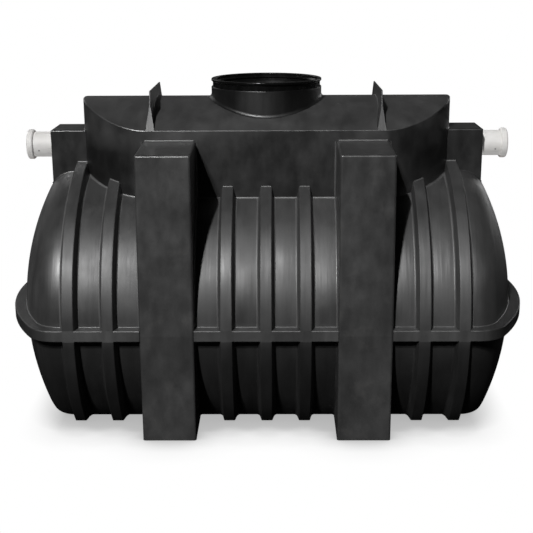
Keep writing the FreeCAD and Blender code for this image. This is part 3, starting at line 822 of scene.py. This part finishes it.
def leg_creases(tank):
    """The creases where the legs meet the barrel, and the turret's wall beside and above them."""
    barrel, turret = [], []
    front = Vector((0, -1, 0))
    for word in ("left", "right"):
        low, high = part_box(f"{word}_front_leg")
        middle, half = (low.x + high.x) / 2, (high.x - low.x) / 2 - LEG_TAPER
        foot_angle = -math.asin((AXIS_HEIGHT - FLOOR_GAP) / BARREL_RADIUS)
        for side in (-1, 1):
            x = middle + side * (high.x - low.x) / 2
            flank = Vector((side, 0, 0))
            end = math.acos(turret_depth(x) / BARREL_RADIUS)
            stations = []
            for angle in between(foot_angle, end, LONG_RUN):
                point, normal = tank.around(x, angle)
                stations.append((point, flank, normal))
            barrel += [stations, mirrored(stations)]
            foot = stations[-1][0]
            heights = between(foot.z, LEG_TOP, LEG_TOP_RUN)
            stations = [(Vector((x, foot.y, z)), flank, front) for z in heights]
            turret += [stations, mirrored(stations)]
        top = Vector((0, LEG_TOP_SLOPE, 1))
        wall = turret_sizes()[0]
        xs = between(middle - half, middle + half, LEG_TOP_RUN)
        stations = [(Vector((x, -wall, LEG_TOP)), top, front) for x in xs]
        turret += [stations, mirrored(stations)]
    return barrel + turret


def belt_creases(tank):
    """The creases where the belt meets the barrel and the dished ends, above and below."""
    runs = []
    low, high = (corner.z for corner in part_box("front_belt"))
    for height, up in ((high, 1), (low, -1)):
        face = Vector((0, 0, up))
        rise = abs(height - AXIS_HEIGHT)
        apex = tank.crown_middle + math.sqrt(CROWN_RADIUS**2 - rise**2)
        xs = between(-STRAIGHT, STRAIGHT, BELT_SIDE_RUN)
        turns = between(0.0, 1.0, LONG_RUN)[1:]
        right = [STRAIGHT + (apex - STRAIGHT) * math.sin(turn * math.pi / 2) for turn in turns]
        xs = [-x for x in reversed(right)] + xs + right
        front = []
        for x in xs:
            radius, (along, away) = tank.meridian(x)
            depth = math.sqrt(max(radius**2 - rise**2, 0.0))
            normal = Vector((along, -away * depth / radius, away * (height - AXIS_HEIGHT) / radius))
            front.append((Vector((x, -depth, height)), face, normal))
        back = [station for station in mirrored(front)][::-1][1:-1]
        runs.append(front + back)
    return runs


def housing_creases(tank):
    """The creases where each pipe housing meets the dished end and the turret."""
    dome, wall = [], []
    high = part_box("right_pipe_housing")[1]
    half_width, straight = turret_sizes()
    start = straight + math.sqrt(half_width**2 - high.y**2)
    for side in (-1, 1):
        flank, face = Vector((0, -1, 0)), Vector((side, 0, 0))
        stations = []
        for x in between(start, high.x, HOUSING_SIDE_RUN):
            point, normal = tank.above(side * x, -high.y)
            stations.append((point, flank, normal))
        dome += [stations, mirrored(stations)]
        stations = []
        for y in between(-high.y, high.y, HOUSING_FACE_RUN):
            point, normal = tank.above(side * high.x, y)
            stations.append((point, face, normal))
        dome.append(stations)
        foot = tank.above(side * start, -high.y)[0]
        across = Vector((side * (start - straight), -high.y, 0)).normalized()
        heights = between(foot.z, high.z, CORNER_RUN)
        stations = [(Vector((foot.x, -high.y, z)), across, flank) for z in heights]
        wall += [stations, mirrored(stations)]
        stations = []
        turn = math.asin(high.y / half_width)
        for angle in between(-turn, turn, HOUSING_FACE_RUN):
            across = Vector((side * math.cos(angle), math.sin(angle), 0))
            point = Vector((side * straight, 0, high.z)) + across * half_width
            stations.append((point, across, Vector((0, 0, 1))))
        wall.append(stations)
    return dome + wall


def fin_creases():
    """The creases at the feet of the lifting fins, along the arched roof."""
    runs = []
    eave_half = turret_sizes()[0]
    front_inset, back_inset = FIN_FOOT_INSETS
    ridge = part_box("turret_roof_left")[1].z
    low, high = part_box("right_lifting_fin")
    rise = ridge - low.z
    arch = (eave_half**2 + rise**2) / (2 * rise)
    thick = high.x - low.x
    for word in ("left", "right"):
        low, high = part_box(f"{word}_lifting_fin")
        middle = (low.x + high.x) / 2
        for side in (-1, 1):
            stations = []
            for y in between(-eave_half + front_inset, eave_half - back_inset, MIDDLE_RUN):
                z = ridge - arch + math.sqrt(arch**2 - y**2)
                share = max(0.0, 1 - (z - low.z) / FIN_FLARE_RISE)
                half = FIN_PLATE_HALF + (thick / 2 - FIN_PLATE_HALF) * share
                point = Vector((middle + side * half, y, z))
                stations.append((point, Vector((side, 0, 0)), Vector((0, y, z - ridge + arch))))
            runs.append(stations)
    return runs


def moulded_creases(kinds):
    """The moulding's inside corners are small hollow fillets that catch the light; most are in the lighter
    crease black, a painted highlight.
    """
    tank = Tank()
    fillets("turret_foot_fillet", [turret_foot(tank)], kinds["crease"], closed=True)
    fillets("rib_foot_fillets", rib_creases(tank), kinds["crease"])
    fillets("rib_top_fillets", rib_top_creases(), kinds["crease"])
    fillets("leg_foot_fillets", leg_creases(tank), kinds["crease"])
    fillets("belt_fillets", belt_creases(tank), kinds["crease"], closed=True)
    fillets("housing_fillets", housing_creases(tank), kinds["housing"])
    fillets("fin_fillets", fin_creases(), kinds["fin"])


camera_like_the_photograph()
studio_lights()
world_light()
floor()
kinds = finishes()
moulded_creases(kinds)

bpy.context.scene.view_settings.view_transform = "Standard"
